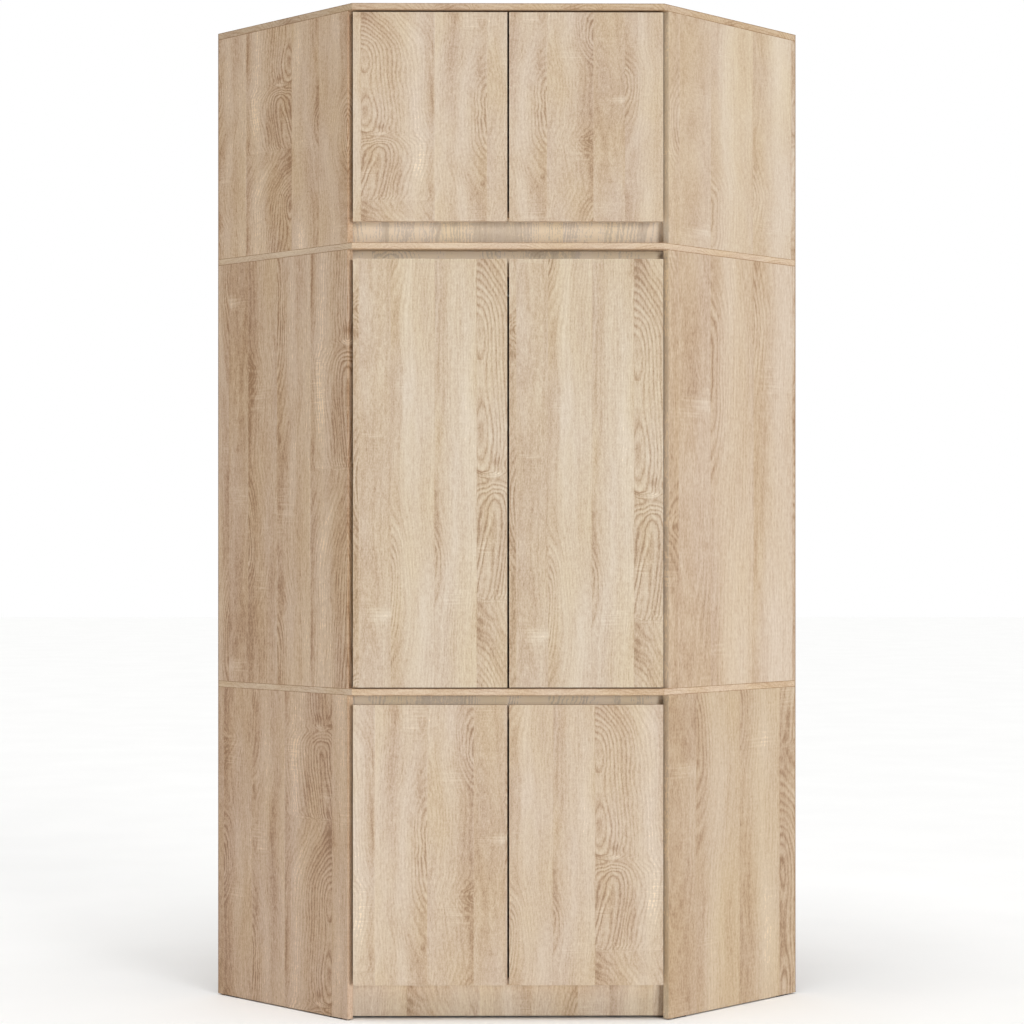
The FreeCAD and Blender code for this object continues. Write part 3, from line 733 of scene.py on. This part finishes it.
def heads(name, places, sizes_mm, recess_shares, body):
    """Fastener heads, each a grid of rings by angles: a rim on the board, a shoulder, the recess's
    edge and its floor; a ring's points stand a radius from the place and a height along its
    direction. The places are pairs of a point and a direction."""
    radius_mm, height_mm, recess_mm = sizes_mm
    shares = np.array(recess_shares)
    angles = np.arange(len(shares)) * math.tau / len(shares)
    rim, recess = np.full(len(shares), radius_mm), recess_mm * shares
    radii = MM * np.array([rim, rim * shoulder_share, recess, recess * floor_share])
    heights = MM * height_mm * np.array(HEIGHT_SHARES)
    points, faces = [], []
    rings, sides = radii.shape
    grid = np.arange(rings * sides).reshape(rings, sides)
    turned = np.roll(grid, -1, axis=1)
    quads = np.stack([grid[:-1], turned[:-1], turned[1:], grid[1:]], axis=-1).reshape(-1, 4)
    for count, (place, direction) in enumerate(places):
        first = np.cross(direction, UP if abs(direction[2]) < half_share else RIGHT)
        second = np.cross(direction, first)
        spokes = np.outer(np.cos(angles), first) + np.outer(np.sin(angles), second)
        ring_points = radii[:, :, None] * spokes[None] + heights[:, None, None] * np.array(direction)
        points.append(np.array(place) + ring_points.reshape(-1, 3))
        faces += (quads + count * grid.size).tolist()
        faces.append((grid[-1] + count * grid.size).tolist())
    mesh = bpy.data.meshes.new(name)
    mesh.from_pydata(np.concatenate(points).tolist(), [], faces)
    mesh.materials.append(zinc)
    piece = bpy.data.objects.new(name, mesh)
    bpy.context.scene.collection.objects.link(piece)
    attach(piece, body)


hinge_end_mm = 100.0
cup_screw_mm = 24.0
plate_line_mm = 37.0  # side's front edge to the screws of a plate
plate_wing_mm = 2.0
arm_top_mm = 8.0
plate_screw_mm = 16.0
arm_screw_mm = 9.0
hanger_strap_mm = 2.5
hanger_half_width_mm = 9.0
hanger_screw_mm = 16.0
screw_end_mm = 60.0
nail_pitch_mm = 120.0
nail_margin_mm = 40.0
first_nail_mm = 160.0
last_nail_mm = 940.0
NAILED_BOARDS = ("base_bottom", "base_deck", "middle_deck", "top_bottom", "top_deck")


def hinge_heights(door):
    """Heights of a door's two hinges, in millimetres."""
    low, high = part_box(door)
    return (low.z * TO_MM + hinge_end_mm, high.z * TO_MM - hinge_end_mm)


def cup_screws(door):
    """Two screws in the wings of each hinge cup."""
    low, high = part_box(f"{door}_hinge_cups")
    middle_x = (low.x + high.x) / 2
    places = [
        ((middle_x, high.y, MM * (height + offset)), BACKWARD)
        for height in hinge_heights(door) for offset in (-cup_screw_mm, cup_screw_mm)
    ]
    heads(f"{door}_cup_screws", places, CUP_HEAD_MM, CROSS_SHARES, door)


def hinge_screws():
    """Two screws above each other in every hinge plate, and two behind each other in every arm."""
    middle = side_front_mm - plate_line_mm
    plate_face = wall_length_mm - board_mm - plate_wing_mm
    arm_face = wall_length_mm - board_mm - arm_top_mm
    plate_places, arm_places = [], []
    for unit in UNITS:
        for height in hinge_heights(f"{unit}_door_left"):
            for side in (-1, 1):
                screw_height = height + side * plate_screw_mm
                line = middle + side * arm_screw_mm
                plate_places.append((plan(plate_face, middle, screw_height), TO_RIGHT_WALL))
                plate_places.append((plan(middle, plate_face, screw_height), TO_LEFT_WALL))
                arm_places.append((plan(arm_face, line, height), TO_RIGHT_WALL))
                arm_places.append((plan(line, arm_face, height), TO_LEFT_WALL))
    heads("hinge_plate_screws", plate_places, PLATE_HEAD_MM, CROSS_SHARES, "carcass")
    heads("hinge_arm_screws", arm_places, ARM_HEAD_MM, CROSS_SHARES, "carcass")


def hanger_screws():
    """Two screws under the foot of each hanger of the rail."""
    low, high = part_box("hanging_rail_hangers")
    x = high.x - MM * hanger_half_width_mm
    y = (low.y + high.y) / 2
    foot = high.z - MM * hanger_strap_mm
    places = [
        ((hand * x, y + side * MM * hanger_screw_mm, foot), DOWN)
        for hand in (-1, 1) for side in (-1, 1)
    ]
    heads("hanger_screws", places, HANGER_HEAD_MM, CROSS_SHARES, "carcass")


def deck_screw_sockets():
    """Sockets in the heads of the top deck's screws, over the sides and the corner post."""
    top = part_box("top_deck")[1].z * TO_MM
    lines = (back_mm + screw_end_mm, side_front_mm - screw_end_mm)
    places = [plan(side_middle_mm, line, top) for line in lines]
    places += [plan(line, side_middle_mm, top) for line in lines]
    low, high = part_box("top_corner_post")
    places.append((0, (low.y + high.y) / 2, MM * top))
    heads("deck_screw_sockets", [(place, UP) for place in places], SOCKET_HEAD_MM, HEXAGON_SHARES, "carcass")


def nail_row(first, last):
    """Even places from the first to the last, about a pitch apart."""
    return np.linspace(first, last, round((last - first) / nail_pitch_mm) + 1)


def back_nails():
    """Nails of the backs, over the edges of the sides and the level boards."""
    places = []
    for unit in UNITS:
        low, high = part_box(f"{unit}_back_left")
        for height in nail_row(low.z * TO_MM + nail_margin_mm, high.z * TO_MM - nail_margin_mm):
            places.append((side_middle_mm, height))
    for board in NAILED_BOARDS:
        low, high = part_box(board)
        for line in nail_row(first_nail_mm, last_nail_mm):
            places.append((line, (low.z + high.z) / 2 * TO_MM))
    nails = [(plan(line, 0, height), TO_LEFT_WALL) for line, height in places]
    nails += [(plan(0, line, height), TO_RIGHT_WALL) for line, height in places]
    heads("back_nails", nails, NAIL_HEAD_MM, ROUND_SHARES, "carcass")


for door in DOORS:
    cup_screws(door)
hinge_screws()
hanger_screws()
deck_screw_sockets()
back_nails()

# Floor, light and camera

stage_half_size = 30.0
paint_patch_mm = 400.0
WHITE = (1, 1, 1, 1)
room_brightness = 0.1

# Lights: degrees to the right of the front and above the floor, brightness, degrees of width
KEY_LIGHT = (34.0, 8.0, 0.44, 22.0)
TOP_LIGHT = (-10.0, 84.0, 0.9, 60.0)

# Camera, from the perspective of the photo's edges
CAMERA_PLACE = (-0.04153, -6.13454, 1.10592)
camera_turn = -0.51
sensor_mm = 36.0
focal_length_share = 2446.84 / 1024
rise_share = 0.02955
farthest_view = 100.0

floor_mesh = bpy.data.meshes.new("floor")
corners = np.array([(-1, -1, 0), (1, -1, 0), (1, 1, 0), (-1, 1, 0)]) * stage_half_size
floor_mesh.from_pydata(corners.tolist(), [], [(0, 1, 2, 3)])
floor = bpy.data.objects.new("floor", floor_mesh)
bpy.context.scene.collection.objects.link(floor)
# Studio floor: matt white paint, barely uneven
white_paint = speckled("matt_white_floor", paint_patch_mm, ("#FBFBFA", "#FDFDFC"), (0.85, 0.95))
floor_mesh.materials.append(white_paint)


def sun(name, azimuth, elevation, strength, softness):
    """Distant light: degrees to the right of the front and above the floor, the brightness that
    it gives a white face square to it, and how many degrees wide it is."""
    light = bpy.data.lights.new(name, "SUN")
    light.energy = strength * math.pi
    light.angle = math.radians(softness)
    lamp = bpy.data.objects.new(name, light)
    lamp.rotation_euler = (math.radians(90 - elevation), 0, math.radians(azimuth))
    bpy.context.scene.collection.objects.link(lamp)


def studio_room():
    """Even light from all round, and a white background."""
    world = bpy.data.worlds.new("studio")
    bpy.context.scene.world = world
    world.use_nodes = True
    sky = world.node_tree
    room = sky.nodes["Background"]
    room.inputs["Color"].default_value = WHITE
    room.inputs["Strength"].default_value = room_brightness
    white = add(sky, "ShaderNodeBackground", {"Color": WHITE, "Strength": 1.0})
    path = add(sky, "ShaderNodeLightPath")
    seen = add(sky, "ShaderNodeMixShader", {0: path.outputs["Is Camera Ray"], 1: room, 2: white})
    sky.links.new(seen.outputs[0], sky.nodes["World Output"].inputs["Surface"])


def studio_camera():
    """Level camera, a little left of the middle."""
    camera = bpy.data.objects.new("camera", bpy.data.cameras.new("camera"))
    bpy.context.scene.collection.objects.link(camera)
    camera.location = CAMERA_PLACE
    camera.rotation_euler = (math.radians(90), 0, math.radians(camera_turn))
    camera.data.sensor_width = sensor_mm
    camera.data.lens = sensor_mm * focal_length_share
    camera.data.shift_y = rise_share
    camera.data.clip_end = farthest_view
    bpy.context.scene.camera = camera


sun("key_light", *KEY_LIGHT)
sun("top_light", *TOP_LIGHT)
studio_room()
studio_camera()
bpy.context.scene.view_settings.view_transform = "Standard"
